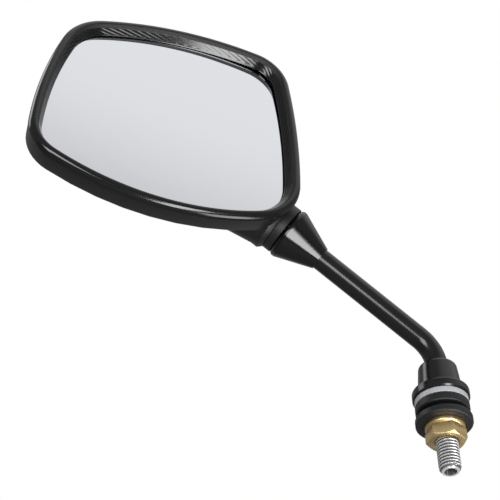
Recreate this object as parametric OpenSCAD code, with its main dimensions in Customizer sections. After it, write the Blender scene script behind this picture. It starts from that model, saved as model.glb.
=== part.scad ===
// Motorcycle mirror with a round bent arm, a ball-jointed head and a
// rubber-bushed threaded stud. Millimetres, +Z up along the stud, glass facing -Y.
// The origin is on the stud's axis, at the face where the bracket is clamped.

/* [Stud and brass nut] */
// Outer diameter of the stud's thread
stud_d = 10; // [9:0.25:11]
// Pitch diameter of the thread, where nut and collar grip it
thread_pitch_d = 9.02; // [8.4:0.02:9.4]
// Free length of stud below the nut
stud_free = 14.9; // [11:0.1:30]
// Length of thread held in the collar
stud_grip = 10.4; // [6:0.2:12]
// Height of the chamfer at the stud's tip
tip_chamfer_h = 1.8; // [0.6:0.2:3]
// Diameter of the stud's end face
tip_face_d = 7.5; // [7:0.1:8.6]
// Width across flats of the hexagon socket in the tip
socket_af = 5; // [3:0.5:6]
// Depth of the hexagon socket
socket_depth = 5; // [3:0.5:10]
// Radius of the punch mark at the edge of the tip
punch_r = 0.9; // [0.4:0.1:1.4]
// Width across flats of the brass nut
nut_af = 16; // [14:0.5:18]
// Height of the brass nut
nut_h = 6; // [5:0.2:9]
// Height of the chamfer on the nut's corners
nut_chamfer = 0.9; // [0.3:0.1:1.4]
// Outer diameter of the brass washer
brass_washer_d = 17.8; // [16:0.2:22]
// Thickness of the brass washer
brass_washer_t = 2.5; // [1.6:0.1:3]
// Chamfer round the brass washer's lower edge
washer_chamfer = 0.9; // [0.3:0.1:1.2]

/* [Rubber mounting] */
// Thickness of the bracket that the rubbers clamp
bracket_t = 2.5; // [1.5:0.1:5]
// Diameter of the lower bush's neck, which fills the bracket's hole
bush_neck_d = 16; // [14.5:0.5:20]
// Outer diameter of the lower rubber bush
lower_bush_d = 25.6; // [22:0.1:30]
// Thickness of the lower bush's flange
lower_bush_t = 3.7; // [2:0.1:7]
// Outer diameter of the upper rubber washer
upper_rubber_d = 24.3; // [22:0.1:30]
// Thickness of the upper rubber washer
upper_rubber_t = 4.3; // [2.6:0.1:7]
// Radius of the rounded edges on both rubbers
rubber_round = 0.9; // [0.2:0.1:1]
// Outer diameter of the spacer tube inside the rubbers
spacer_d = 13; // [12:0.1:14]
// Outer diameter of the grey washer
grey_washer_d = 24; // [20:0.1:28]
// Thickness of the grey washer
grey_washer_t = 2.7; // [2:0.1:6]

/* [Collar] */
// Diameter of the collar's flange
flange_d = 25.7; // [22:0.1:30]
// Height of the collar's flange
flange_h = 4.6; // [3:0.1:7]
// Radius of the flange's upper edge
flange_round = 1.2; // [0.5:0.1:1.8]
// Chamfer of the flange's lower edge
flange_chamfer = 0.7; // [0.3:0.1:1]
// Height of the cone that runs from the flange up to the sleeve
flare_h = 1.8; // [1:0.1:2.6]
// Diameter of the sleeve's foot
sleeve_d = 19.6; // [18.4:0.1:20.4]
// Diameter of the sleeve's top
sleeve_top_d = 17.6; // [16:0.1:18.2]
// Height of the sleeve above the flange
sleeve_h = 13.6; // [11:0.1:20]
// Radius of the sleeve's upper edge
sleeve_round = 2.2; // [0.5:0.1:3]

/* [Arm] */
// Diameter of the round arm
arm_d = 10; // [9:0.25:11]
// Radius of the bend, at the arm's centre line
bend_r = 17.8; // [14:0.2:40]
// Angle of the bend, measured from upright
bend_angle = 54.5; // [40:0.5:65]
// Straight length from the bend to the arm's upper end
arm_straight = 67.8; // [60:0.2:140]

/* [Cone cover] */
// Length of arm covered by the cone
cone_overlap = 10.8; // [8:0.2:14]
// Diameter of the cone's small end
cone_small_d = 11; // [10.6:0.1:11.6]
// Diameter of the cone's big end
cone_big_d = 24.8; // [22:0.1:26]
// Length of the cone's rim band, beyond the taper
cone_band = 2.4; // [1.8:0.1:3]
// Wall of the cone at its rounded rim
cone_wall = 2.3; // [2:0.1:2.6]
// Depth of the groove between the taper and the rim band
cone_groove = 0.35; // [0.1:0.05:0.6]

/* [Ball joint] */
// Diameter of the ball
ball_d = 14; // [12:0.1:15]
// Distance from the arm's end to the ball's centre
ball_reach = 27.2; // [26.4:0.2:32]
// Diameter of the ball stud's thread
shank_d = 8; // [7:0.1:8.4]
// Diameter of the neck under the ball
neck_d = 7; // [6:0.1:7.2]
// Width across flats of the lock nut on the ball stud
lock_nut_af = 13; // [11:0.5:13.5]
// Height of the lock nut
lock_nut_h = 4.6; // [3:0.1:5]
// Wall of the nylon ball liner
liner_t = 1.2; // [0.8:0.1:1.6]
// Width of the ball liner, along the joint
liner_w = 9.2; // [7:0.2:9.6]
// Radius of the boss's rounded end, about the ball
boss_end_r = 18.2; // [18:0.1:18.6]
// Diameter of the boss on the housing
boss_d = 27.6; // [25.6:0.1:29]
// Diameter of the rubber neck ring
ring_d = 23.6; // [22.8:0.1:24.6]
// Diameter of the circle that the clamp screws stand on
screw_circle = 28.8; // [28.6:0.1:29.6]
// Diameter of the clamp screws
screw_d = 4; // [3:0.1:4]
// Wire diameter of the clamp springs
spring_wire = 0.8; // [0.5:0.05:1]

/* [Head outline] */
// Across to the centre of the lower inner corner, from the ball
low_in_x = -12.8; // [-16:0.1:-10]
// Up to the centre of the lower inner corner
low_in_z = 3.9; // [1:0.1:7]
// Radius of the lower inner corner
low_in_r = 27.8; // [24:0.1:31]
// Across to the centre of the upper inner corner
top_in_x = -5.6; // [-12:0.1:0]
// Up to the centre of the upper inner corner
top_in_z = 60.7; // [50:0.1:72]
// Radius of the upper inner corner
top_in_r = 18.7; // [14:0.1:24]
// Across to the centre of the upper outer corner
top_out_x = -72.3; // [-84:0.1:-60]
// Up to the centre of the upper outer corner
top_out_z = 47.6; // [40:0.1:56]
// Radius of the upper outer corner
top_out_r = 28.1; // [22:0.1:34]
// Across to the centre of the lower outer corner
low_out_x = -94.1; // [-106:0.1:-84]
// Up to the centre of the lower outer corner
low_out_z = 2; // [-6:0.1:10]
// Radius of the lower outer corner
low_out_r = 18.7; // [14:0.1:24]
// Radius of the bowed lower side
low_bow_r = 129; // [115:1:400]
// Radius of the bowed inner side
in_bow_r = 322; // [150:1:900]
// Radius of the bowed upper side
top_bow_r = 172; // [120:1:500]
// Radius of the bowed outer side
out_bow_r = 187; // [120:1:600]

/* [Head section] */
// Distance from the ball's centre forward to the bezel's front
head_front = 20; // [19.4:0.1:22]
// Depth of the bezel, front to its seam with the shell
bezel_depth = 4.2; // [3.8:0.1:5]
// Width of the bezel, from the outer edge to the glass
bezel_w = 6.5; // [6:0.1:7.4]
// Radius of the bezel's rolled outer edge
bezel_roll = 2.7; // [2.2:0.1:3]
// Depth of the lip that holds the glass, behind the bezel's front
lip_depth = 4.9; // [4.6:0.1:5.2]
// Distance from the outline in to the glass's edge
glass_edge = 4.4; // [4.2:0.1:4.8]
// Depth of the shell's side wall, behind the bezel
side_depth = 7.6; // [7:0.1:9]
// Inward draft of the side wall over its depth
side_draft = 1.3; // [0.6:0.1:2]
// Height of the domed back behind the side wall
dome_h = 19; // [16:0.5:24]
// Shift of the dome's middle towards the joint
dome_shift_x = 3; // [1:0.5:5]
// Shift of the dome's middle downwards
dome_shift_z = 5; // [3:0.5:6]
// Radius of the swelling over the joint
swell_r = 20; // [19:0.2:21]
// Length over which the swelling narrows towards the dome
swell_len = 12; // [9:0.5:15]
// Wall of the housing shell
shell_t = 2.3; // [1.8:0.1:2.6]
// Radius of the convex glass
glass_bow_r = 1500; // [900:50:2400]
// Thickness of the glass
glass_t = 2; // [1.5:0.1:2.4]
// Thickness of the adhesive pad behind the glass
pad_t = 0.8; // [0.5:0.1:1]

/* [Hidden] */
$fn = 96;
fit = 0.02;
slip = 0.1;
seat_gap = 0.3;
eps = 0.01;
bend_thinning = 0.05;

// Heights along the stud
washer_low = -bracket_t - lower_bush_t;
nut_high = washer_low - brass_washer_t;
nut_low = nut_high - nut_h;
tip_z = nut_low - stud_free;
grey_z = upper_rubber_t;
collar_z = grey_z + grey_washer_t;
sleeve_z = collar_z + flange_h;
bend_z = sleeve_z + sleeve_h;
stud_top = collar_z + stud_grip;
arm_low = stud_top + 0.6;

// Arm and joint, in the plane of the bend
bend_end = [-bend_r * (1 - cos(bend_angle)), bend_z + bend_r * sin(bend_angle)];
joint_along = arm_straight + ball_reach;
ball_x = bend_end[0] - joint_along * sin(bend_angle);
ball_z = bend_end[1] + joint_along * cos(bend_angle);
ball_r = ball_d / 2;

// Distances from the ball towards the arm
arm_end = ball_reach;
cone_small = ball_reach + cone_overlap;
ring_sphere = boss_end_r + seat_gap;
cone_rear = ring_sphere - 0.5;
ring_spigot = cone_rear + cone_band;

// Ball seat
liner_in = ball_r + slip;
liner_out = liner_in + liner_t;
seat_r = liner_out + slip;
tilt = 12;
tilt_both = acos(cos(tilt) * cos(tilt));
mouth_start = 6;
mouth_start_r = sqrt(pow(seat_r, 2) - pow(mouth_start, 2));
mouth_slope = tan(tilt_both + 6);
cap_wall = 1.8;
cap_out = seat_r + cap_wall;
pocket_r = cap_out + 1.2;
neck_len = 12;
knuckle_len = 11.4;
swell_z = 8;
ear_r = 3.6;
ear_t = 2.4;
post_face = 3.2;
spring_h = 4;
screw_head_h = 2.2;
screw_head_r = 3.4;
screw_bite = 4.5;
screw_angles = [25, 90, 155];
screw_spots = [for (a = screw_angles) screw_circle / 2 * [cos(a), sin(a)]];

// Head section, measured back from the ball's plane
front_y = -head_front;
seam_y = front_y + bezel_depth;
lip_y = front_y + lip_depth;
glass_y = lip_y + slip;
ledge_y = glass_y + glass_t + pad_t + 1.8;
band_y = seam_y + side_depth;
head_mid = [(low_out_x + low_in_x) / 2 + dome_shift_x, (low_in_z + top_in_z) / 2 - dome_shift_z];

// Outline of the head: four corner arcs joined by four bowed sides. Every arc
// keeps its centre as the outline is set inwards, so all rings share their points.
corners = [[low_out_x, low_out_z], [low_in_x, low_in_z], [top_in_x, top_in_z],
    [top_out_x, top_out_z]];
corner_r = [low_out_r, low_in_r, top_in_r, top_out_r];
bow_r = [low_bow_r, in_bow_r, top_bow_r, out_bow_r];
arc_steps = 8;

function bow_centre(i) =
    let (j = (i + 1) % 4, d = corners[j] - corners[i], len = norm(d))
    let (a = bow_r[i] - corner_r[i], b = bow_r[i] - corner_r[j])
    let (along = (a * a - b * b + len * len) / (2 * len))
    let (off = sqrt(a * a - along * along))
    corners[i] + along * d / len + off * [-d[1], d[0]] / len;

function heading(v) = atan2(v[1], v[0]);

function arc(centre, r, from, to) =
    let (sweep = (to - from + 360) % 360)
    [for (k = [0:arc_steps - 1])
        centre + r * [cos(from + sweep * k / arc_steps), sin(from + sweep * k / arc_steps)]];

function outline(inset) =
    [for (i = [0:3])
        let (j = (i + 1) % 4, k = bow_centre(i), next = bow_centre(j))
        let (a = heading(corners[i] - k), b = heading(corners[j] - k))
        each concat(arc(k, bow_r[i] - inset, a, b),
            arc(corners[j], corner_r[j] - inset, b, heading(corners[j] - next)))];

function ring_at(inset, y, share = 1) =
    [for (p = outline(inset))
        let (q = head_mid + share * (p - head_mid)) [q[0], y, q[1]]];

// Skin between rings, capped at both ends, or closed on itself as a frame
module skin(rings, closed = false) {
    n = len(rings[0]);
    m = len(rings);
    bands = closed ? m : m - 1;
    sides = [for (j = [0:bands - 1], i = [0:n - 1])
        let (k = (i + 1) % n, u = (j + 1) % m)
        [j * n + i, j * n + k, u * n + k, u * n + i]];
    caps = closed ? [] : [[for (i = [n - 1:-1:0]) i], [for (i = [0:n - 1]) (m - 1) * n + i]];
    polyhedron([for (r = rings) each r], concat(sides, caps));
}

module at_ball() {
    translate([ball_x, 0, ball_z])
        children();
}

// Joint frame: +Z runs from the arm into the head, -Y is the glass side
module at_joint() {
    at_ball()
        rotate([0, -bend_angle, 0])
            children();
}

module facing_front(z_from, z_to) {
    translate([0, -z_from, 0])
        rotate([90, 0, 0])
            linear_extrude(z_to - z_from)
                children();
}

module tube(outer_d, inner_d, height) {
    difference() {
        cylinder(d = outer_d, h = height);
        translate([0, 0, -eps])
            cylinder(d = inner_d, h = height + 2 * eps);
    }
}

// Washer with rounded outer edges
module rounded_disc(d, t, bore, r) {
    rotate_extrude()
        difference() {
            union() {
                translate([bore / 2, 0])
                    square([d / 2 - r - bore / 2, t]);
                translate([d / 2 - r - eps, r])
                    square([r + eps, t - 2 * r]);
                for (y = [r, t - r])
                    translate([d / 2 - r, y])
                        circle(r, $fn = 32);
            }
            translate([0, -1])
                square([bore / 2, t + 2]);
        }
}

// Quarter of a disc, for a rounded edge of a turned piece
module quarter_disc(r) {
    intersection() {
        circle(r, $fn = 48);
        square(r);
    }
}

module hex_prism(af, h) {
    cylinder(d = af / cos(30), h = h, $fn = 6);
}

module chamfered_nut(af, h, chamfer, bore) {
    corner = af / cos(30) / 2;
    difference() {
        intersection() {
            hex_prism(af, h);
            rotate_extrude()
                polygon([[0, 0], [corner - chamfer * 1.7, 0], [corner, chamfer],
                    [corner, h - chamfer], [corner - chamfer * 1.7, h], [0, h]]);
        }
        translate([0, 0, -eps])
            cylinder(d = bore, h = h + 2 * eps);
    }
}

// Zinc-plated stud with a hexagon socket and a punch mark in its tip. It is drawn
// at the pitch diameter where the nut and the collar grip the thread.
module stud() {
    grip_r = thread_pitch_d / 2;
    r = stud_d / 2;
    color("silver")
        difference() {
            rotate_extrude()
                polygon([[0, tip_z], [tip_face_d / 2, tip_z], [r, tip_z + tip_chamfer_h],
                    [r, nut_low], [grip_r, nut_low], [grip_r, nut_high], [r, nut_high],
                    [r, collar_z - fit], [grip_r, collar_z - fit], [grip_r, stud_top],
                    [0, stud_top]]);
            translate([0, 0, tip_z - eps])
                rotate([0, 0, 29])
                    hex_prism(socket_af, socket_depth);
            translate([0, -r - 0.15, tip_z + tip_chamfer_h - 0.2])
                sphere(punch_r, $fn = 32);
        }
}

module brass_nut() {
    color("goldenrod")
        translate([0, 0, nut_low])
            rotate([0, 0, 24])
                chamfered_nut(nut_af, nut_h, nut_chamfer, thread_pitch_d + 2 * fit);
}

module brass_washer() {
    bore = stud_d + 2 * slip;
    rim = brass_washer_d / 2;
    color("gold")
        translate([0, 0, nut_high])
            rotate_extrude()
                polygon([[bore / 2, 0], [rim - washer_chamfer, 0], [rim, washer_chamfer],
                    [rim, brass_washer_t], [bore / 2, brass_washer_t]]);
}

// Flanged bush whose neck stands in the bracket's hole
module lower_rubber_bush() {
    bore = spacer_d + 2 * fit;
    color("dimgray") {
        translate([0, 0, washer_low])
            rounded_disc(lower_bush_d, lower_bush_t, bore, rubber_round);
        translate([0, 0, -bracket_t - eps])
            tube(bush_neck_d, bore, bracket_t + eps);
    }
}

module spacer_tube() {
    color("lightgray")
        translate([0, 0, washer_low])
            tube(spacer_d, stud_d + 2 * slip, grey_z - washer_low);
}

module upper_rubber_washer() {
    color("dimgray")
        rounded_disc(upper_rubber_d, upper_rubber_t, spacer_d + 2 * fit, rubber_round);
}

module grey_washer() {
    color("gainsboro")
        translate([0, 0, grey_z])
            rounded_disc(grey_washer_d, grey_washer_t, stud_d + 2 * slip, 0.3);
}

// Turned collar: the stud screws into it from below, the arm is brazed in from above
module collar() {
    top = flange_h + sleeve_h;
    rim = flange_d / 2;
    rim_in = rim - flange_round;
    neck = sleeve_top_d / 2;
    neck_in = neck - sleeve_round;
    color([0.12, 0.12, 0.13])
        translate([0, 0, collar_z])
            difference() {
                rotate_extrude()
                    union() {
                        polygon([[0, 0], [rim - flange_chamfer, 0], [rim, flange_chamfer],
                            [rim, flange_h - flange_round], [rim_in, flange_h - flange_round],
                            [rim_in, flange_h], [sleeve_d / 2, flange_h + flare_h],
                            [neck, top - sleeve_round], [neck_in, top - sleeve_round],
                            [neck_in, top], [0, top]]);
                        translate([rim_in, flange_h - flange_round])
                            quarter_disc(flange_round);
                        translate([neck_in, top - sleeve_round])
                            quarter_disc(sleeve_round);
                    }
                translate([0, 0, -eps])
                    cylinder(d = thread_pitch_d + 2 * fit, h = stud_grip + 0.3);
                translate([0, 0, stud_grip + 0.2])
                    cylinder(d = arm_d + 2 * fit, h = top);
            }
}

// Round steel arm: straight, one bend, straight, with a tapped upper end. The bend
// is a hair thinner, so that the straight parts close round its ends.
module arm() {
    lap = 0.3;
    color([0.12, 0.12, 0.13])
        translate([-bend_r, 0, bend_z])
            rotate([90, 0, 0]) {
                rotate_extrude(angle = bend_angle)
                    translate([bend_r, 0])
                        circle(d = arm_d - bend_thinning);
                translate([bend_r, lap, 0])
                    rotate([90, 0, 0])
                        cylinder(d = arm_d, h = bend_z - arm_low + lap);
                rotate([0, 0, bend_angle])
                    translate([bend_r, -lap, 0])
                        rotate([-90, 0, 0])
                            difference() {
                                cylinder(d = arm_d, h = arm_straight + lap);
                                translate([0, 0, arm_straight - cone_overlap + lap])
                                    cylinder(d = shank_d + 2 * fit, h = cone_overlap + 1);
                            }
            }
}

// Plastic cone pushed up the arm to hide the ball stud's nut
module cone_cover() {
    big = cone_big_d / 2;
    small = cone_small_d / 2;
    taper_end = cone_rear + cone_band;
    inner = big - cone_wall;
    groove_w = 0.5;
    rim_r = min(cone_band - groove_w, cone_wall - 0.4);
    color([0.1, 0.1, 0.11])
        at_joint()
            difference() {
                rotate_extrude()
                    union() {
                        polygon([[0, -cone_small], [small, -cone_small], [big, -taper_end],
                            [big - cone_groove, -taper_end + 0.05],
                            [big - cone_groove, -taper_end + groove_w - 0.05],
                            [big, -taper_end + groove_w], [big, -cone_rear - rim_r],
                            [big - rim_r, -cone_rear - rim_r], [big - rim_r, -cone_rear],
                            [0, -cone_rear]]);
                        translate([big - rim_r, -cone_rear - rim_r])
                            quarter_disc(rim_r);
                    }
                translate([0, 0, -cone_small - 1])
                    cylinder(d = arm_d + 2 * fit, h = cone_overlap + 2);
                rotate_extrude()
                    polygon([[0, -arm_end - 1.2], [lock_nut_af / 2 + 1.1, -arm_end - 1.2],
                        [inner, -taper_end], [inner, -cone_rear + 1], [0, -cone_rear + 1]]);
            }
}

module lock_nut() {
    color("lightgray")
        at_joint()
            translate([0, 0, -arm_end + slip])
                chamfered_nut(lock_nut_af, lock_nut_h, 0.6, shank_d + 2 * fit);
}

module ball_stud() {
    color("silver")
        at_joint()
            union() {
                sphere(d = ball_d);
                translate([0, 0, -neck_len - 1])
                    cylinder(d = neck_d, h = neck_len + 1);
                translate([0, 0, -neck_len])
                    mirror([0, 0, 1])
                        cylinder(d = shank_d, h = arm_end + cone_overlap - neck_len - 1);
            }
}

// Soft ring that closes the gap between cone and boss. Its hollow face is a sphere
// about the ball, so the boss slides under it.
module neck_ring() {
    color([0.16, 0.16, 0.17])
        at_joint()
            difference() {
                union() {
                    translate([0, 0, -cone_rear + seat_gap])
                        cylinder(d = ring_d, h = cone_rear);
                    translate([0, 0, -ring_spigot])
                        cylinder(r = cone_big_d / 2 - cone_wall - seat_gap, h = cone_band + seat_gap);
                }
                sphere(ring_sphere);
                translate([0, 0, -ring_spigot - 1])
                    cylinder(d = shank_d + 2 * slip, h = ring_spigot);
            }
}

module ball_liner() {
    color("ivory")
        at_joint()
            difference() {
                intersection() {
                    sphere(liner_out);
                    translate([0, 0, -liner_w / 2])
                        cylinder(r = liner_out + 1, h = liner_w);
                }
                sphere(liner_in);
            }
}

// Opening that lets the neck swing, widening towards the arm
module mouth() {
    reach = boss_end_r + 4;
    rotate_extrude()
        polygon([[0, -mouth_start], [mouth_start_r, -mouth_start],
            [mouth_start_r + (reach - mouth_start) * mouth_slope, -reach], [0, -reach]]);
}

// Farthest place that a rim of the ring or cone reaches when the head is tilted
// both ways at once, as distance from the joint's axis and height along it
function swept(r, along) =
    [along * sin(tilt_both) + r * cos(tilt_both) + seat_gap,
    -along * cos(tilt_both) + r * sin(tilt_both) + seat_gap];

// Room for the neck ring and cone as the head tilts
module tilt_room() {
    ring_r = ring_d / 2;
    front_rim = swept(ring_r, sqrt(pow(ring_sphere, 2) - pow(ring_r, 2)));
    cone_rim = swept(cone_big_d / 2, cone_rear + cone_band);
    rotate_extrude()
        difference() {
            polygon([[0, front_rim[1]], front_rim, swept(ring_r, cone_rear), cone_rim,
                [cone_rim[0], -2 * boss_end_r], [0, -2 * boss_end_r]]);
            circle(boss_end_r + slip);
        }
}

// Outline of the cap's three arms, seen from the back
module cap_arms(r) {
    for (p = screw_spots)
        rotate(atan2(p[1], p[0])) {
            translate([norm(p), 0])
                circle(r);
            translate([0, -r])
                square([norm(p), 2 * r]);
        }
}

module at_screws() {
    for (p = screw_spots)
        translate([p[0], 0, p[1]])
            rotate([90, 0, 0])
                children();
}

back_rings = [for (f = [1, 0.9, 0.79, 0.67, 0.54, 0.4, 0.25, 0.1]) [f, 1 - f * f]];
round_steps = [[0, 0], [0.45, 1], [1.15, 1.8], [2.05, 2.6]];

module shell_outside() {
    edge = side_draft + 0.25;
    last = round_steps[3];
    skin(concat([ring_at(0.25, seam_y)],
        [for (s = round_steps) ring_at(edge + s[0], band_y + s[1])],
        [for (b = back_rings)
            if (b[0] < 1) ring_at(edge + last[0], band_y + last[1] + dome_h * b[1], b[0])]));
}

module shell_inside() {
    skirt = shell_t + 0.25;
    deep = side_draft + shell_t + 1.6;
    start = band_y + 2.6 - shell_t;
    skin(concat([ring_at(skirt, front_y), ring_at(skirt, ledge_y), ring_at(deep, ledge_y + eps)],
        [for (b = back_rings) ring_at(deep + 0.2, start + (dome_h - 0.5) * b[1], b[0])]));
}

// Swelling of the back over the joint
module knuckle() {
    relief = 0.5;
    hull() {
        rotate([0, -bend_angle, 0])
            translate([0, 0, -knuckle_len])
                cylinder(r = boss_d / 2 - relief, h = knuckle_len, $fn = 48);
        rotate([0, -bend_angle, 0])
            translate([0, 0, swell_z])
                scale([1, 0.62, 1])
                    sphere(swell_r, $fn = 48);
        rotate([0, -bend_angle, 0])
            translate([0, 0, swell_z + swell_len])
                scale([1, 0.9, 0.8])
                    sphere(0.6 * swell_r, $fn = 48);
    }
}

// Boss round the ball: its end is a sphere about the ball, its front is open for
// the clamp cap
module boss() {
    difference() {
        rotate_extrude()
            intersection() {
                translate([0, -boss_end_r])
                    square([boss_d / 2, boss_end_r + 13]);
                union() {
                    circle(boss_end_r);
                    square([boss_end_r, boss_end_r]);
                }
            }
        translate([-boss_d, -boss_d - post_face, -4])
            cube([2 * boss_d, boss_d, 2 * boss_d]);
    }
}

// Moulded housing: a drafted side wall and domed back, with the ball's boss, the
// rear half of its seat, and three posts for the clamp cap's screws
module housing_shell() {
    post_depth = 6;
    color([0.13, 0.13, 0.14])
        difference() {
            union() {
                at_ball()
                    difference() {
                        union() {
                            shell_outside();
                            knuckle();
                        }
                        shell_inside();
                    }
                at_joint()
                    boss();
                at_joint()
                    at_screws()
                        translate([0, 0, -post_depth])
                            cylinder(r = ear_r, h = post_depth + post_face);
            }
            at_joint() {
                sphere(seat_r);
                mouth();
                tilt_room();
                rotate([90, 0, 0])
                    cylinder(r = pocket_r, h = head_front);
                at_screws()
                    translate([0, 0, -screw_bite])
                        cylinder(d = screw_d + 2 * fit, h = screw_bite + 2 * post_face);
                translate([0, -post_face, 0])
                    rotate([90, 0, 0])
                        linear_extrude(head_front)
                            cap_arms(ear_r + seat_gap);
            }
            at_ball()
                facing_front(-ledge_y, head_front + 1)
                    polygon(outline(shell_t + 0.25));
        }
}

// Front half of the ball's seat, pressed down by three sprung screws
module clamp_cap() {
    top = post_face + slip;
    color("gray")
        at_joint()
            difference() {
                union() {
                    intersection() {
                        rotate([90, 0, 0])
                            cylinder(r = pocket_r - seat_gap, h = cap_out + 2);
                        union() {
                            sphere(cap_out);
                            translate([-20, -post_face - ear_t, -20])
                                cube([40, post_face + ear_t, 40]);
                        }
                        translate([-20, -20, -20])
                            cube([40, 20 - slip, 40]);
                    }
                    difference() {
                        translate([0, -top, 0])
                            rotate([90, 0, 0])
                                linear_extrude(ear_t)
                                    cap_arms(ear_r);
                        sphere(cap_out - 0.5);
                    }
                }
                sphere(seat_r);
                mouth();
                sphere_room();
                at_screws()
                    cylinder(d = screw_d + 2 * seat_gap, h = head_front);
            }
}

// The cap stays inside the boss's rounded end
module sphere_room() {
    translate([-20, -20, -boss_end_r - 20])
        cube([40, 40, boss_end_r + 20 - pocket_r + seat_gap]);
}

module clamp_springs() {
    turns = 4;
    steps = 14;
    coil_r = screw_d / 2 + spring_wire / 2 + 0.25;
    rise = spring_h - spring_wire - 2 * slip;
    base = post_face + slip + ear_t + slip + spring_wire / 2;
    sides = 6;
    count = turns * steps;
    points = [for (i = [0:count], s = [0:sides - 1])
        let (a = 360 * i / steps, b = 360 * s / sides)
        let (r = coil_r + spring_wire / 2 * cos(b))
        [r * cos(a), r * sin(a), rise * i / count + spring_wire / 2 * sin(b)]];
    faces = concat([[for (s = [0:sides - 1]) s],
        [for (s = [sides - 1:-1:0]) count * sides + s]],
        [for (i = [0:count - 1], s = [0:sides - 1])
            let (t = (s + 1) % sides)
            [i * sides + t, i * sides + s, (i + 1) * sides + s, (i + 1) * sides + t]]);
    color("lightsteelblue")
        at_joint()
            at_screws()
                translate([0, 0, base])
                    polyhedron(points, faces);
}

module clamp_screws() {
    under_head = post_face + slip + ear_t + spring_h;
    color("silver")
        at_joint()
            at_screws()
                difference() {
                    union() {
                        translate([0, 0, -screw_bite + 0.3])
                            cylinder(d = screw_d, h = under_head + screw_bite - 0.3);
                        translate([0, 0, under_head])
                            cylinder(r = screw_head_r, h = screw_head_h);
                    }
                    for (turn = [0, 90])
                        rotate([0, 0, turn])
                            translate([-2, -0.5, under_head + screw_head_h - 1.2])
                                cube([4, 1, 2]);
                }
}

// Slice of a shallow dome about the head's middle, y measured back from the glass
module bowed_slice(front, back, flat_back = false) {
    reach = 90;
    lip_reach = 42;
    steps = 9;
    function bow(r) = glass_bow_r - sqrt(pow(glass_bow_r, 2) - r * r);
    edge = bow(lip_reach);
    face = [for (i = [0:steps]) [reach * i / steps, bow(reach * i / steps) - edge + front]];
    rear = flat_back ? [[reach, back], [0, back]]
        : [for (i = [steps:-1:0]) [reach * i / steps, bow(reach * i / steps) - edge + back]];
    translate([head_mid[0], 0, head_mid[1]])
        rotate([-90, 0, 0])
            rotate_extrude($fn = 120)
                polygon(concat(face, rear));
}

module glass_blank(inset) {
    facing_front(0, head_front + 5)
        polygon(outline(inset));
}

module joint_cutout() {
    rotate([90, 0, 0])
        cylinder(r = screw_circle / 2 + ear_r + 1.6, h = head_front + 5);
}

// Plastic carrier plate, flat behind, on the shell's ledge
module backing_plate() {
    color([0.2, 0.2, 0.2])
        at_ball()
            difference() {
                intersection() {
                    bowed_slice(glass_y + glass_t + pad_t + 0.1, ledge_y - fit, true);
                    glass_blank(glass_edge + 0.2);
                }
                joint_cutout();
            }
}

module glass_pad() {
    color("white")
        at_ball()
            difference() {
                intersection() {
                    bowed_slice(glass_y + glass_t + 0.05, glass_y + glass_t + pad_t + 0.05);
                    glass_blank(glass_edge + 1);
                }
                joint_cutout();
            }
}

module mirror_glass() {
    color([0.8, 0.82, 0.84])
        at_ball()
            intersection() {
                bowed_slice(glass_y, glass_y + glass_t);
                glass_blank(glass_edge);
            }
}

// Bezel: rolled front edge, sloping inner face, and a skirt plugged into the shell
module bezel() {
    skirt_out = shell_t + 0.35;
    skirt_in = glass_edge - slip;
    skirt_end = ledge_y - 1.2;
    lip_t = 0.5;
    crown_w = 0.8;
    crown_drop = 0.25;
    groove = 0.35;
    roll = [for (a = [0:22.5:90])
        [bezel_roll * (1 - sin(a)), front_y + bezel_roll * (1 - cos(a))]];
    profile = concat(roll, [[0, seam_y - slip - groove], [groove, seam_y - slip],
        [skirt_out, seam_y - slip], [skirt_out, skirt_end], [skirt_in, skirt_end],
        [skirt_in, lip_y], [bezel_w, lip_y], [bezel_w, lip_y - lip_t],
        [bezel_roll + crown_w, front_y + crown_drop]]);
    color([0.1, 0.1, 0.11])
        difference() {
            at_ball()
                skin([for (p = profile) ring_at(p[0], p[1])], true);
            at_joint()
                tilt_room();
        }
}

stud();
brass_nut();
brass_washer();
lower_rubber_bush();
spacer_tube();
upper_rubber_washer();
grey_washer();
collar();
arm();
cone_cover();
lock_nut();
ball_stud();
neck_ring();
ball_liner();
housing_shell();
clamp_cap();
clamp_springs();
clamp_screws();
backing_plate();
glass_pad();
mirror_glass();
bezel();
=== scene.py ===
# Motorcycle mirror: a ball-jointed head on a bent round arm, with a rubber-bushed stud.
from math import atan2, cos, pi, radians, sin, sqrt, tau

import bmesh
import bpy
from mathutils import Matrix, Vector


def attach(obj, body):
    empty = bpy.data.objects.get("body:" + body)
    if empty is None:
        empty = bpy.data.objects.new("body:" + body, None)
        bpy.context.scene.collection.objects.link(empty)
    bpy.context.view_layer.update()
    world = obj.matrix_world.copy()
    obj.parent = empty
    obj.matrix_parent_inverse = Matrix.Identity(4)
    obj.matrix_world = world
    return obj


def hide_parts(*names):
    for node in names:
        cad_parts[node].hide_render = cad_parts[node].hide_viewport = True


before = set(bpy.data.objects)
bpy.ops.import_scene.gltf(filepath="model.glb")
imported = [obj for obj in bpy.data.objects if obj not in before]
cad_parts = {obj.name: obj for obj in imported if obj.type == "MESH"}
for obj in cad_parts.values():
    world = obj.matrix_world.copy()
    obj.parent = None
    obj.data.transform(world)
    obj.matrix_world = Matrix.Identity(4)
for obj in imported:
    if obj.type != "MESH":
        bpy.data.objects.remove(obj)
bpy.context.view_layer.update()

# Threaded stud
# An M10 x 1.5 steel stud, rolled thread, bright zinc plate, screwed into the collar
# from below. Its tip is chamfered, has a 5 mm hexagon socket, and its edge is staked
# with a punch so that the nut can't run off.


def linear(code):
    """An sRGB hex colour as linear RGBA."""
    parts = [int(code[i : i + 2], 16) / 255 for i in (1, 3, 5)]
    return [c / 12.92 if c <= 0.04045 else ((c + 0.055) / 1.055) ** 2.4 for c in parts] + [1.0]


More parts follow.
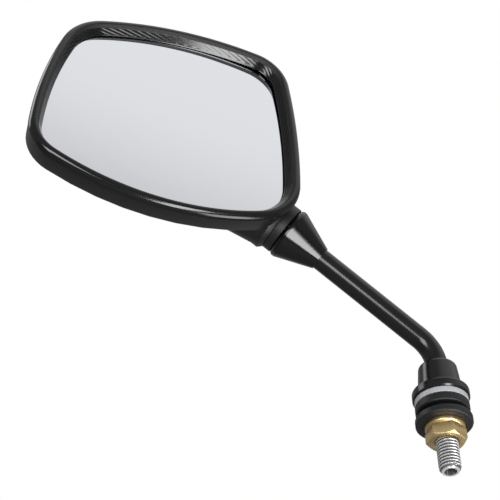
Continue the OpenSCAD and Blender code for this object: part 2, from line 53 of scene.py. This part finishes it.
def add_node(material, kind, settings=None, links=None):
    """Adds a shader node, sets its properties or sockets, and links sockets to it."""
    made = material.node_tree.nodes.new(kind)
    for key, value in (settings or {}).items():
        if isinstance(key, str) and hasattr(made, key):
            setattr(made, key, value)
        else:
            made.inputs[key].default_value = value
    for key, source in (links or {}).items():
        material.node_tree.links.new(source, made.inputs[key])
    return made


def start_material(name, colour, roughness, sockets=None):
    """A Principled material with its constant values."""
    material = bpy.data.materials.new(name)
    material.use_nodes = True
    shader = material.node_tree.nodes["Principled BSDF"]
    shader.inputs["Base Color"].default_value = linear(colour)
    shader.inputs["Roughness"].default_value = roughness
    for key, value in (sockets or {}).items():
        shader.inputs[key].default_value = value
    return material


def feed(material, socket, source):
    """Links a node's output to a socket of the material's own shader."""
    shader = material.node_tree.nodes["Principled BSDF"]
    material.node_tree.links.new(source, shader.inputs[socket])


def grain(material, scale, detail, strength):
    """A fine raised grain under 0.1 mm deep; returns the noise that makes it."""
    spot = add_node(material, "ShaderNodeTexCoord")
    cloud = add_node(material, "ShaderNodeTexNoise", {"Scale": scale, "Detail": detail},
                     {"Vector": spot.outputs["Object"]})
    bump = add_node(material, "ShaderNodeBump", {"Strength": strength, "Distance": 0.0001},
                    {"Height": cloud.outputs["Fac"]})
    feed(material, "Normal", bump.outputs["Normal"])
    return cloud


CREST, ROOT = 0.005, 0.0041

# Bright zinc over rolled steel: clear reflections, a little broken by a 1 mm mottle.
# The thread's grooves and the socket hold less light, so painted shade darkens them: the grey
# goes by distance from the axis, here in shares of the crest's radius.
GROOVE_SHADE_GREYS = [(0.54, 0.16), (0.59, 0.7), (0.8, 0.7), (0.83, 0.12), (0.9, 0.18), (0.96, 0.7)]
zinc = start_material("bright_zinc_plate", "#DADADB", 0.29, {"Metallic": 0.6})
cloud = grain(zinc, 900.0, 3.0, 0.12)
grade = add_node(zinc, "ShaderNodeMapRange", {"To Min": 0.2, "To Max": 0.38},
                 {"Value": cloud.outputs["Fac"]})
feed(zinc, "Roughness", grade.outputs["Result"])
spot = add_node(zinc, "ShaderNodeTexCoord")
flat = add_node(zinc, "ShaderNodeVectorMath",
                {"operation": "MULTIPLY", 1: (1 / CREST, 1 / CREST, 0)},
                {0: spot.outputs["Object"]})
from_axis = add_node(zinc, "ShaderNodeVectorMath", {"operation": "LENGTH"}, {0: flat.outputs[0]})
# The ramp is painted shade: dark in the socket and at the thread's roots, pale on the tip and
# crests.
painted_shade_ramp = add_node(zinc, "ShaderNodeValToRGB", None, {"Fac": from_axis.outputs["Value"]})
painted_shade_ramp.color_ramp.elements[0].color = (0.14, 0.14, 0.14, 1)
painted_shade_ramp.color_ramp.elements[1].color = (0.7, 0.7, 0.71, 1)
for share, grey in GROOVE_SHADE_GREYS:
    painted_shade_ramp.color_ramp.elements.new(share).color = (grey, grey, grey, 1)
feed(zinc, "Base Color", painted_shade_ramp.outputs["Color"])

TIP = -0.0296
TIP_CHAMFER = 0.0018
NUT_LOW = -0.0147
STUD_TOP = 0.0174
PITCH = 0.0015
CREST_EDGE = 0.00006
SOCKET_FLATS = 0.005
SOCKET_DEEP = 0.005
SOCKET_POINT = 0.0009
CORE_R = 0.0045
start = TIP - PITCH


def begin():
    """Leaves edit mode with nothing selected."""
    if bpy.context.object and bpy.context.object.mode != "OBJECT":
        bpy.ops.object.mode_set(mode="OBJECT")
    bpy.ops.object.select_all(action="DESELECT")


def draw(name, points, closed=False):
    """A chain of edges through the points, extruded vertex by vertex."""
    begin()
    bpy.ops.mesh.primitive_plane_add(size=0.001, location=points[0])
    piece = bpy.context.object
    piece.name = name
    bpy.ops.object.transform_apply(location=True, rotation=True, scale=True)
    bpy.ops.object.mode_set(mode="EDIT")
    bpy.ops.mesh.select_mode(type="VERT")
    bpy.ops.mesh.select_all(action="SELECT")
    bpy.ops.mesh.merge(type="CENTER")
    for start, end in zip(points, points[1:]):
        step = Vector(end) - Vector(start)
        bpy.ops.mesh.extrude_vertices_move(TRANSFORM_OT_translate={"value": step})
    if closed:
        bpy.ops.mesh.select_all(action="SELECT")
        bpy.ops.mesh.edge_face_add()
        bpy.ops.mesh.delete(type="ONLY_FACE")
    bpy.ops.mesh.select_all(action="SELECT")
    return piece


thread = draw("threaded_stud", [
    (ROOT, 0, start),
    (ROOT, 0, start + 0.15 * PITCH),
    (CREST - CREST_EDGE, 0, start + 0.47 * PITCH),
    (CREST, 0, start + 0.5 * PITCH),
    (CREST, 0, start + 0.6 * PITCH),
    (CREST - CREST_EDGE, 0, start + 0.63 * PITCH),
    (ROOT, 0, start + 0.95 * PITCH),
    (ROOT, 0, start + PITCH),
])


def apply_modifier(piece, kind, **settings):
    """Adds one modifier to the piece, sets it and applies it."""
    begin()
    bpy.context.view_layer.objects.active = piece
    piece.select_set(True)
    made = piece.modifiers.new(kind.title(), kind)
    for key, value in settings.items():
        setattr(made, key, value)
    bpy.ops.object.modifier_apply(modifier=made.name)


apply_modifier(thread, "SCREW", axis="Z", screw_offset=PITCH, iterations=12,
               steps=64, render_steps=64, use_smooth_shade=False)
bpy.ops.object.mode_set(mode="EDIT")
bpy.ops.mesh.select_all(action="SELECT")
bpy.ops.mesh.remove_doubles(threshold=1e-6)
for height, inner, outer in ((TIP, True, False), (NUT_LOW + 0.0002, False, True)):
    bpy.ops.mesh.select_all(action="SELECT")
    bpy.ops.mesh.bisect(plane_co=(0, 0, height), plane_no=(0, 0, 1), use_fill=True,
                        clear_inner=inner, clear_outer=outer, threshold=1e-7)
bpy.ops.mesh.select_all(action="SELECT")
bpy.ops.mesh.normals_make_consistent(inside=False)


def pick(piece, kind, test):
    """In edit mode, selects the verts, edges or faces that pass the test."""
    bpy.ops.mesh.select_mode(type=kind.upper()[:-1])
    bpy.ops.mesh.select_all(action="DESELECT")
    mesh = bmesh.from_edit_mesh(piece.data)
    for item in getattr(mesh, kind):
        if test(item):
            item.select_set(True)
    bmesh.update_edit_mesh(piece.data)


def rod(name, radius, low, high, sides=64):
    """An upright cylinder on the stud's axis, with its place in its mesh."""
    begin()
    bpy.ops.mesh.primitive_cylinder_add(vertices=sides, radius=radius, depth=high - low,
                                        location=(0, 0, (low + high) / 2))
    piece = bpy.context.object
    piece.name = name
    bpy.ops.object.transform_apply(location=True, rotation=True, scale=True)
    return piece


def cut(piece, tool, operation="DIFFERENCE"):
    """Applies a boolean with the tool, then deletes the tool."""
    apply_modifier(piece, "BOOLEAN", object=tool, operation=operation, solver="MANIFOLD")
    bpy.data.objects.remove(tool)


point = rod("tip_chamfer", CREST + 0.00002, TIP + TIP_CHAMFER, NUT_LOW + 0.001)
bpy.ops.object.mode_set(mode="EDIT")
pick(point, "faces", lambda f: f.normal.z < -0.9)
bpy.ops.mesh.extrude_region_move(TRANSFORM_OT_translate={"value": (0, 0, -TIP_CHAMFER)})
bpy.ops.transform.resize(value=(0.75, 0.75, 1), center_override=(0, 0, TIP))
begin()
cut(thread, point, "INTERSECT")

socket = rod("socket", SOCKET_FLATS / 2 / cos(pi / 6), TIP - 0.001, TIP + SOCKET_DEEP, sides=6)
bpy.ops.object.mode_set(mode="EDIT")
pick(socket, "faces", lambda f: f.normal.z > 0.9)
bpy.ops.mesh.extrude_region_move(TRANSFORM_OT_translate={"value": (0, 0, SOCKET_POINT)})
bpy.ops.transform.resize(value=(0.2, 0.2, 1), center_override=(0, 0, TIP))
begin()
cut(thread, socket)

# The punch mark: a round dent near the tip, with the metal it pushed up round it.
begin()
bpy.ops.mesh.primitive_torus_add(major_radius=0.00085, minor_radius=0.00022,
                                 major_segments=28, minor_segments=10,
                                 location=(0, -0.00475, TIP + 0.0017), rotation=(radians(70), 0, 0))
lip = bpy.context.object
bpy.ops.object.transform_apply(location=True, rotation=True, scale=True)
cut(thread, lip, "UNION")
begin()
bpy.ops.mesh.primitive_uv_sphere_add(radius=0.00085, segments=28, ring_count=16,
                                     location=(0, -0.0051, TIP + 0.0016))
dent = bpy.context.object
bpy.ops.object.transform_apply(location=True, rotation=True, scale=True)
cut(thread, dent)

core = rod("core", CORE_R, NUT_LOW, STUD_TOP)
begin()
thread.select_set(True)
core.select_set(True)
bpy.context.view_layer.objects.active = thread
bpy.ops.object.join()


def smooth(piece, degrees):
    """Smooth shading, with edges sharper than the angle left crisp."""
    begin()
    bpy.context.view_layer.objects.active = piece
    piece.select_set(True)
    bpy.ops.object.shade_smooth_by_angle(angle=radians(degrees))


def dress(piece, material, body, slot, *nodes):
    """Gives a finished piece its material and body, and hides the nodes it stands for; slot is not
    used.
    """
    piece.data.materials.clear()
    piece.data.materials.append(material)
    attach(piece, body)
    if nodes:
        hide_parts(*nodes)


smooth(thread, 32)
dress(thread, zinc, "arm_assembly", "zinc_steel", "stud")

# Brass nut
# A 16 mm hexagon nut, turned and milled from brass bar, both ends chamfered at 30
# degrees and its thread countersunk. It is run up the stud against the brass washer.


def mottle(material, scale, detail, first, second):
    """Two near colours in soft patches; returns the noise that makes them."""
    spot = add_node(material, "ShaderNodeTexCoord")
    cloud = add_node(material, "ShaderNodeTexNoise", {"Scale": scale, "Detail": detail},
                     {"Vector": spot.outputs["Object"]})
    tint = add_node(material, "ShaderNodeMix",
                    {"data_type": "RGBA", 6: linear(first), 7: linear(second)},
                    {0: cloud.outputs["Fac"]})
    feed(material, "Base Color", tint.outputs[2])
    return cloud


# Brass as machined and handled: satin, with 2 mm patches that are duller and browner.
brass = start_material("turned_brass", "#E3C992", 0.39, {"Metallic": 1.0})
cloud = mottle(brass, 420.0, 4.0, "#ECD5A2", "#DABD82")
grade = add_node(brass, "ShaderNodeMapRange", {"To Min": 0.3, "To Max": 0.48},
                 {"Value": cloud.outputs["Fac"]})
feed(brass, "Roughness", grade.outputs["Result"])

NUT_FLATS = 0.016
NUT_ROUND = 0.00925
NUT_CHAMFER = 0.0009
NUT_TURN = 6
NUT_BORE = 0.00455
NUT_THICK = 0.006
NUT_HIGH = NUT_LOW + NUT_THICK
nut = rod("hexagon_nut", NUT_FLATS / 2 / cos(pi / 6), NUT_LOW, NUT_HIGH, sides=6)
bpy.ops.object.mode_set(mode="EDIT")
bpy.ops.mesh.select_all(action="SELECT")
bpy.ops.transform.rotate(value=radians(NUT_TURN), orient_axis="Z", center_override=(0, 0, 0))
begin()
turned = rod("turned", NUT_ROUND, NUT_LOW + NUT_CHAMFER, NUT_HIGH - NUT_CHAMFER, sides=96)
bpy.ops.object.mode_set(mode="EDIT")
for side in (-1, 1):
    pick(turned, "faces", lambda f: f.normal.z * side > 0.9)
    bpy.ops.mesh.extrude_region_move(
        TRANSFORM_OT_translate={"value": (0, 0, side * NUT_CHAMFER)})
    bpy.ops.transform.resize(value=(0.85, 0.85, 1), center_override=(0, 0, 0))
begin()
cut(nut, turned, "INTERSECT")
bore = rod("bore", NUT_BORE, NUT_LOW - 0.001, NUT_HIGH + 0.001)
bpy.ops.object.mode_set(mode="EDIT")
bpy.ops.mesh.select_all(action="SELECT")
bpy.ops.mesh.bisect(plane_co=(0, 0, NUT_LOW + NUT_CHAMFER), plane_no=(0, 0, 1), threshold=1e-7)
pick(bore, "verts", lambda v: v.co.z < NUT_LOW)
bpy.ops.transform.resize(value=(1.46, 1.46, 1), center_override=(0, 0, 0))
begin()
cut(nut, bore)
apply_modifier(nut, "BEVEL", width=0.00014, segments=2,
               limit_method="ANGLE", angle_limit=radians(25))
smooth(nut, 30)
dress(nut, brass, "arm_assembly", "brass", "brass_nut")

# Brass washer
# A turned brass washer, 17.8 mm across, chamfered on the nut's side. It spreads the
# nut's load over the spacer tube and the lower rubber.
WASHER_R = 0.0089
WASHER_BORE = 0.0051
WASHER_CHAMFER = 0.0009
WASHER_THICK = 0.0025
WASHER_HIGH = NUT_HIGH + WASHER_THICK
washer = rod("turned_washer", WASHER_R, NUT_HIGH + WASHER_CHAMFER, WASHER_HIGH, sides=96)
bpy.ops.object.mode_set(mode="EDIT")
pick(washer, "faces", lambda f: f.normal.z < -0.9)
bpy.ops.mesh.extrude_region_move(TRANSFORM_OT_translate={"value": (0, 0, -WASHER_CHAMFER)})
bpy.ops.transform.resize(value=(0.9, 0.9, 1), center_override=(0, 0, 0))
begin()
cut(washer, rod("bore", WASHER_BORE, NUT_HIGH - 0.001, NUT_HIGH + 0.003))
apply_modifier(washer, "BEVEL", width=0.0003, segments=3,
               limit_method="ANGLE", angle_limit=radians(30))
smooth(washer, 40)
dress(washer, brass, "arm_assembly", "brass", "brass_washer")

# Rubber mounting
# Two moulded EPDM rubbers clamp the bracket between them and keep its shake out of
# the glass. The steel spacer tube inside stops the nut from crushing them.


def dress_node(name, material):
    """A better material for a CAD node whose shape is right."""
    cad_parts[name].material_slots[0].material = material


# Matt black with a 0.6 mm grain, coarser than the real skin so that it shows.
rubber = start_material("moulded_epdm", "#151516", 0.48, {"IOR": 1.45})
grain(rubber, 1600.0, 2.0, 0.15)
dress_node("lower_rubber_bush", rubber)
dress_node("upper_rubber_washer", rubber)
dress_node("spacer_tube", zinc)

# Grey washer
# A pale grey nylon washer between the upper rubber and the collar, so that the
# collar turns on it without tearing the rubber as the nut is tightened.

# Semi-matt and almost even in colour, with 4 mm patches a shade apart.
nylon = start_material("grey_nylon", "#A9AAAE", 0.42, {"IOR": 1.53})
mottle(nylon, 260.0, 3.0, "#A2A3A7", "#B0B1B4")
dress_node("grey_washer", nylon)

# Collar and arm
# A turned steel collar with the 10 mm round bar brazed into it; the bar is bent once
# and both are sprayed together in black stoving enamel, which leaves a faint orange peel.

# Wet-looking black; the 2.4 mm orange peel only bends the edges of reflections.
enamel = start_material("black_stoving_enamel", "#121214", 0.2, {"IOR": 1.48})
grain(enamel, 420.0, 2.0, 0.06)
dress_node("collar", enamel)
dress_node("arm", enamel)

# Ball stud and lock nut
# A turned and zinc-plated ball stud, screwed into the arm's end and locked with an
# M8 nut, both hidden under the cone.
dress_node("ball_stud", zinc)
dress_node("lock_nut", zinc)

# Cone cover
# A polished black acetal cone that slides up the arm over the lock nut. A fine
# groove runs round it just before its rim.

# Deep black and nearly mirror smooth, so its highlight is the sharpest of all.
acetal = start_material("polished_black_acetal", "#0A0A0B", 0.13, {"IOR": 1.48})
dress_node("cone_cover", acetal)

# Neck ring
# A soft rubber ring that hides the gap between cone and boss. Its hollow face rubs
# on the boss's rounded end as the head is turned.
dress_node("neck_ring", rubber)

# Ball liner and clamp
# The ball turns in a natural nylon liner. A die-cast cap, three springs and three
# screws press the liner on it, so the head stays where it is put.

# None of these shows unless the head is taken apart: cream nylon, grey casting, steel.
natural = start_material("natural_nylon", "#D8D3C3", 0.4, {"IOR": 1.53})
die_cast = start_material("die_cast_zinc", "#8D8E90", 0.45, {"Metallic": 1.0})
spring_steel = start_material("spring_steel", "#8F9298", 0.3, {"Metallic": 1.0})
dress_node("ball_liner", natural)
dress_node("clamp_cap", die_cast)
dress_node("clamp_springs", spring_steel)
dress_node("clamp_screws", zinc)

# Housing
# The head's shell, injection moulded in black ABS with a fine spark-eroded grain, a
# domed back and the ball's boss moulded into its corner.

# Satin black; the 0.5 mm grain, coarser than the real one, softens its highlights.
moulded = start_material("moulded_abs", "#101011", 0.4, {"IOR": 1.5})
grain(moulded, 1900.0, 2.0, 0.1)


def copy_node(node, name, degrees):
    """A merged copy of a CAD node's mesh, smoothed up to the angle."""
    begin()
    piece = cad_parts[node].copy()
    piece.data = piece.data.copy()
    piece.name = name
    bpy.context.collection.objects.link(piece)
    bpy.context.view_layer.objects.active = piece
    piece.select_set(True)
    bpy.ops.object.mode_set(mode="EDIT")
    bpy.ops.mesh.select_all(action="SELECT")
    bpy.ops.mesh.remove_doubles(threshold=2e-6)
    bpy.ops.object.mode_set(mode="OBJECT")
    bpy.ops.mesh.customdata_custom_splitnormals_clear()
    smooth(piece, degrees)
    return piece


shell = copy_node("housing_shell", "housing_skin", 28)
dress(shell, moulded, "head", "shell_plastic", "housing_shell")

# Glass
# Convex glass silvered on its back, glued with a foam pad to a plastic carrier plate
# that stands on the shell's ledge.

# Silvering behind clear glass: a nearly perfect mirror with a faint cool tint.
silver = start_material("silvered_glass", "#DFE1E5", 0.03, {"Metallic": 1.0})
# Hidden behind the glass: chalky white foam and a dull black plate.
foam = start_material("white_foam", "#DADAD6", 0.8)
carrier = start_material("carrier_abs", "#1A1A1B", 0.5, {"IOR": 1.5})
glass = copy_node("mirror_glass", "convex_glass", 30)
dress(glass, silver, "head", "mirror", "mirror_glass")
dress_node("glass_pad", foam)
dress_node("backing_plate", carrier)

# Bezel
# A black ABS frame that snaps over the shell and holds the glass. Its front edge is
# rolled; its slope down to the glass is finely ribbed, so that it throws no glare.
CORNERS = [(-0.1789, 0.09686), (-0.0976, 0.09876), (-0.0904, 0.15556), (-0.1571, 0.14246)]
CORNER_R = [0.0187, 0.0278, 0.0187, 0.0281]
BOW_R = [0.129, 0.322, 0.172, 0.187]
FRONT = -0.020


def head_arcs():
    """The outline's eight arcs, anticlockwise: centre, radius, start, sweep."""
    bows = []
    for i in range(4):
        a, b = Vector(CORNERS[i]), Vector(CORNERS[(i + 1) % 4])
        ra, rb = BOW_R[i] - CORNER_R[i], BOW_R[i] - CORNER_R[(i + 1) % 4]
        gap = b - a
        along = (ra * ra - rb * rb + gap.length_squared) / (2 * gap.length)
        across = Vector((-gap.y, gap.x)).normalized()
        bows.append(a + gap.normalized() * along + across * sqrt(ra * ra - along * along))
    arcs = []
    for i in range(4):
        j = (i + 1) % 4
        first = atan2(*(Vector(CORNERS[i]) - bows[i]).yx)
        last = atan2(*(Vector(CORNERS[j]) - bows[i]).yx)
        turn = atan2(*(Vector(CORNERS[j]) - bows[j]).yx)
        arcs.append((bows[i], BOW_R[i], first, (last - first) % tau))
        arcs.append((Vector(CORNERS[j]), CORNER_R[j], last, (turn - last) % tau))
    return arcs


# The section, as inset from the outline and depth: the quarter-round roll, a narrow
# flat, the slope down to the glass in fine steps for its ribs, the lip that holds the
# glass, and the skirt that grips the shell.
ROLL = 0.0027
SLOPE_STEPS = 22
roll = [(ROLL - ROLL * cos(t * pi / 16), FRONT + ROLL - ROLL * sin(t * pi / 16)) for t in range(9)]
crest = [(0.0031, FRONT + 0.00002), (0.0034, FRONT + 0.00015)]
slope = [(0.0036 + 0.0027 * t / SLOPE_STEPS, FRONT + 0.0004 + 0.0037 * t / SLOPE_STEPS)
         for t in range(SLOPE_STEPS + 1)]
lip = [(0.0065, FRONT + 0.0044), (0.0065, FRONT + 0.0049), (0.0043, FRONT + 0.0049)]
skirt = [(0.0043, FRONT + 0.0084), (0.00265, FRONT + 0.0084), (0.00265, FRONT + 0.0041),
         (0.00035, FRONT + 0.0041), (0.0001, FRONT + 0.0039), (0, FRONT + 0.0036)]
SPIN_STEP = 0.00055
arcs = head_arcs()
centre, radius, start, sweep = arcs[0]
bezel = draw("front_bezel", [
    (centre.x + (radius - inset) * cos(start), y, centre.y + (radius - inset) * sin(start))
    for inset, y in roll + crest + slope + lip + skirt
], closed=True)
for centre, radius, start, sweep in arcs:
    bpy.ops.mesh.spin(steps=int(sweep * radius / SPIN_STEP), angle=sweep,
                      center=(centre.x, 0, centre.y), axis=(0, 1, 0))
bpy.ops.mesh.select_all(action="SELECT")
bpy.ops.mesh.remove_doubles(threshold=1e-5)
bpy.ops.mesh.normals_make_consistent(inside=False)
begin()

# The notch that clears the boss and the neck ring at every tilt of the head: a room
# turned round the arm's axis, given as radius and distance from the ball's centre.
BALL = Vector((-0.0848045, 0, 0.094858))
INTO_HEAD = Vector((-0.8141155, 0, 0.580703))
ACROSS = Vector((0.580703, 0, 0.8141155))
room = [(0.01573, 0.0099), (0.01682, 0.01349), (0.01809, 0.01561), (0.01809, 0.0364), (0, 0.0364)]
room += [(0.0183 * sin(radians(t)), 0.0183 * cos(radians(t))) for t in (0, 12, 24, 36, 48, 57.24)]
notch = draw("notch", [BALL + ACROSS * r - INTO_HEAD * a for r, a in room], closed=True)
bpy.ops.mesh.spin(steps=96, angle=tau, center=BALL, axis=INTO_HEAD)
bpy.ops.mesh.select_all(action="SELECT")
bpy.ops.mesh.remove_doubles(threshold=1e-6)
bpy.ops.mesh.normals_make_consistent(inside=False)
begin()
cut(bezel, notch)


def along_outline(x, z):
    """A point's distance round the outline, and its inset from it, in metres."""
    run = 0
    for centre, radius, start, sweep in arcs:
        away = Vector((x, z)) - centre
        turned = (atan2(away.y, away.x) - start) % tau
        if turned > tau - 1e-4:
            turned = 0
        if turned <= sweep + 1e-4 and abs(away.length - radius) < 0.009:
            return run + turned * radius, radius - away.length
        run += sweep * radius
    return run, 0


# The ribs: slanted waves 0.07 mm high and 0.9 mm apart, pressed into the slope. The UV
# map unrolls the bezel so that the wood texture's bands, which turn 20 radians across
# a UV square, follow its outline and meet where they close.
ROUND_TRIP = sum(radius * sweep for centre, radius, start, sweep in arcs)
RIB_PITCH = 0.0046
RIB_LEAN = 5
RIB_HIGH = 0.00007
RIBS_FROM, RIBS_TO = 0.0044, 0.0061
BAND_TURN = 20
RIB_TURNS = tau * round(ROUND_TRIP / RIB_PITCH) / ROUND_TRIP
places = [along_outline(v.co.x, v.co.z) for v in bezel.data.vertices]
uv = bezel.data.uv_layers.new(name="ribs")
for face in bezel.data.polygons:
    runs = [places[v][0] for v in face.vertices]
    for loop, v, run in zip(face.loop_indices, face.vertices, runs):
        if max(runs) - run > ROUND_TRIP / 2:
            run += ROUND_TRIP
        uv.data[loop].uv = (run * RIB_TURNS / BAND_TURN,
                            places[v][1] * RIB_LEAN * RIB_TURNS / BAND_TURN)

bpy.context.view_layer.objects.active = bezel
bpy.ops.object.vertex_group_add()
bezel.vertex_groups.active.name = "ribbed"
bpy.ops.object.mode_set(mode="EDIT")
pick(bezel, "verts",
     lambda v: RIBS_FROM < places[v.index][1] < RIBS_TO and v.co.y < FRONT + 0.0042)
bpy.ops.object.vertex_group_assign()
begin()
wave = bpy.data.textures.new("rib_wave", "WOOD")
wave.wood_type, wave.noise_basis_2 = "BANDS", "SIN"
apply_modifier(bezel, "DISPLACE", texture=wave, texture_coords="UV", uv_layer="ribs",
               vertex_group="ribbed", direction="NORMAL", mid_level=0.5, strength=RIB_HIGH)

# Glossy black, with a satin band 1.2 mm wide along the crest, 3.8 mm in from the edge.
BAND_AT = 0.0038
ribbed = start_material("ribbed_abs", "#0E0E0F", 0.16, {"IOR": 1.5})
follow = add_node(ribbed, "ShaderNodeUVMap", {"uv_map": "ribs"})
split = add_node(ribbed, "ShaderNodeSeparateXYZ", None, {0: follow.outputs["UV"]})
inset = add_node(ribbed, "ShaderNodeMath",
                 {"operation": "DIVIDE", 1: RIB_LEAN * RIB_TURNS / BAND_TURN},
                 {0: split.outputs["Y"]})
middle = add_node(ribbed, "ShaderNodeMath", {"operation": "SUBTRACT", 1: BAND_AT},
                  {0: inset.outputs[0]})
near = add_node(ribbed, "ShaderNodeMath", {"operation": "ABSOLUTE"}, {0: middle.outputs[0]})
satin = add_node(ribbed, "ShaderNodeMapRange",
                 {"From Min": 0.0005, "From Max": 0.0007, "To Min": 0.62, "To Max": 0.16},
                 {"Value": near.outputs[0]})
feed(ribbed, "Roughness", satin.outputs["Result"])
smooth(bezel, 30)
dress(bezel, ribbed, "head", "bezel_plastic", "bezel")

# Floor, light and camera
# The mirror hangs from its bracket, so the pale floor is well below it. Soft boxes
# stand round it, and the camera looks up at the glass as the photograph does.
FLOOR_WIDE = 14
FLOOR_LOW = -1.1
begin()
bpy.ops.mesh.primitive_plane_add(size=FLOOR_WIDE, location=(0, 0, FLOOR_LOW))
floor = bpy.context.object
floor.name = "floor"

# The camera sees the floor near white; reflections and bounced light see it greyer.
pale = start_material("pale_floor", "#F2F2F2", 0.7, {"Emission Color": (1, 1, 1, 1)})
path = add_node(pale, "ShaderNodeLightPath")
seen = add_node(pale, "ShaderNodeMix",
                {"data_type": "RGBA", 6: linear("#BDBDBD"), 7: linear("#F2F2F2")},
                {0: path.outputs["Is Camera Ray"]})
feed(pale, "Base Color", seen.outputs[2])
glow = add_node(pale, "ShaderNodeMath", {"operation": "MULTIPLY", 1: 0.5},
                {0: path.outputs["Is Camera Ray"]})
feed(pale, "Emission Strength", glow.outputs[0])
floor.data.materials.append(pale)

# The world: white behind the object, dim as a light, and to metal and glass a grey
# room with a white card overhead on the camera's side, which the glass mirrors.
world = bpy.data.worlds.new("studio")
bpy.context.scene.world = world
world.use_nodes = True
sky = world.node_tree.nodes["Background"]
sky.inputs["Color"].default_value = (1, 1, 1, 1)
path = add_node(world, "ShaderNodeLightPath")
mirrored = add_node(world, "ShaderNodeMath", {"operation": "MAXIMUM"},
                    {0: path.outputs["Is Glossy Ray"], 1: path.outputs["Is Transmission Ray"]})
toward = add_node(world, "ShaderNodeTexCoord")
card = add_node(world, "ShaderNodeVectorMath",
                {"operation": "DOT_PRODUCT", 1: (0.3, -0.3, 1.0)}, {0: toward.outputs["Generated"]})
white = add_node(world, "ShaderNodeMapRange",
                 {"interpolation_type": "SMOOTHSTEP", "From Min": 0.767, "From Max": 0.987,
                  "To Min": 0.3, "To Max": 0.99},
                 {"Value": card.outputs["Value"]})
inside = add_node(world, "ShaderNodeMix", {2: 0.28},
                  {0: mirrored.outputs[0], 3: white.outputs["Result"]})
level = add_node(world, "ShaderNodeMix", {3: 1.0},
                 {0: path.outputs["Is Camera Ray"], 2: inside.outputs[0]})
world.node_tree.links.new(level.outputs[0], sky.inputs["Strength"])

# Soft boxes: the key draws the long highlights on cone and arm, the left and low ones
# the rims, and the one above lights the back. Sizes in metres, power in watts.
MIDDLE = Vector((-0.085, 0, 0.075))


def soft_box(name, place, wide, high, watts):
    """An area lamp at this place, turned to the middle of the mirror."""
    lamp = bpy.data.lights.new(name, "AREA")
    lamp.shape = "RECTANGLE"
    lamp.size, lamp.size_y, lamp.energy = wide, high, watts
    made = bpy.data.objects.new(name, lamp)
    made.location = MIDDLE + Vector(place)
    made.rotation_euler = (-Vector(place)).to_track_quat("-Z", "Y").to_euler()
    bpy.context.collection.objects.link(made)


soft_box("key", (0.234, -0.69, -0.69), 0.22, 0.84, 8)
soft_box("left", (-0.55, -0.76, -0.45), 0.6, 0.42, 6.5)
soft_box("low", (0.56, -0.06, -0.83), 0.7, 0.35, 5)
soft_box("above", (-0.78, 0.25, 0.85), 0.6, 0.7, 4)

# The camera as fitted to the photograph: a long lens from below and from the left.
lens = bpy.data.cameras.new("view")
lens.lens, lens.sensor_width, lens.clip_start = 133.2, 36.0, 0.01
camera = bpy.data.objects.new("view", lens)
camera.matrix_world = Matrix((
    (0.9221, -0.2077, -0.3264, -0.35780),
    (-0.3842, -0.5900, -0.7101, -0.58585),
    (-0.0451, 0.7802, -0.6239, -0.44601),
    (0, 0, 0, 1),
))
bpy.context.collection.objects.link(camera)
bpy.context.scene.camera = camera
bpy.context.scene.view_settings.view_transform = "Standard"
